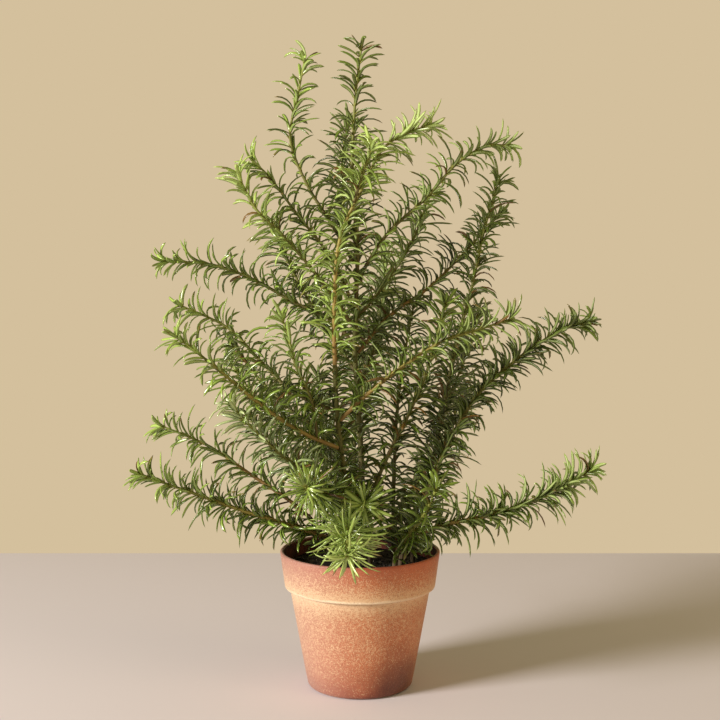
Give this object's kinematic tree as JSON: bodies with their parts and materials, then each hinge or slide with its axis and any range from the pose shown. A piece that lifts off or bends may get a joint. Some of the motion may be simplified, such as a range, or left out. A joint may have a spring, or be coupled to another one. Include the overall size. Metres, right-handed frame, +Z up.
{
  "type": "potted rosemary plant",
  "caption": "Young rosemary plant with arching needle-covered sprays on woody stems, growing in a tapered clay pot with a banded rim.",
  "frame": {"origin": "centre of the flat underside of the pot's foot, on the ground", "axes": "+Z up along the pot's axis, +X to the viewer's right, +Y away from the viewer"},
  "size_m": [0.3687, 0.2578, 0.5113],
  "materials": {
    "terracotta": "dry unglazed clay, speckled, with a chalky bloom under the rim band",
    "soil": "damp dark potting soil, crumbly",
    "bark": "thin fibrous brown bark",
    "foliage": "leathery dark green needles, satin, pale beneath",
    "fresh_foliage": "young yellow-green needles, satin"
  },
  "bodies": {
    "root": {"pot": "terracotta", "soil": "soil", "spray_back": "foliage", "spray_back_left": "foliage", "spray_back_left_side": "foliage", "spray_back_low": "foliage", "spray_back_low_right": "foliage", "spray_back_mid": "foliage", "spray_back_right": "foliage", "spray_back_top": "foliage", "spray_back_upper_left": "foliage", "spray_back_upper_right": "foliage", "spray_front_droop": "fresh_foliage", "spray_front_left_burst": "fresh_foliage", "spray_front_right": "fresh_foliage", "spray_front_tall": "fresh_foliage", "spray_front_tip": "fresh_foliage", "spray_inner_burst": "foliage", "spray_inner_right": "foliage", "spray_leader": "foliage", "spray_left_front": "foliage", "spray_left_high": "foliage", "spray_left_inner": "foliage", "spray_left_mid": "foliage", "spray_left_silver": "foliage", "spray_left_upright": "foliage", "spray_low_front_right": "foliage", "spray_low_left": "foliage", "spray_low_left_back": "foliage", "spray_low_right": "foliage", "spray_mid_right": "foliage", "spray_right_brown": "foliage", "spray_right_reach": "foliage", "spray_right_tall": "foliage", "spray_top_left": "foliage", "spray_top_right": "foliage", "spray_upper_left": "foliage", "spray_upper_left_front": "fresh_foliage", "stem_back": "bark", "stem_front_tall": "bark", "stem_inner_right": "bark", "stem_leader": "bark", "stem_low_left": "bark", "stem_low_left_back": "bark", "stem_low_right": "bark", "stem_mid_right": "bark", "stem_right_reach": "bark", "stem_right_tall": "bark"}
  },
  "joints": []
}
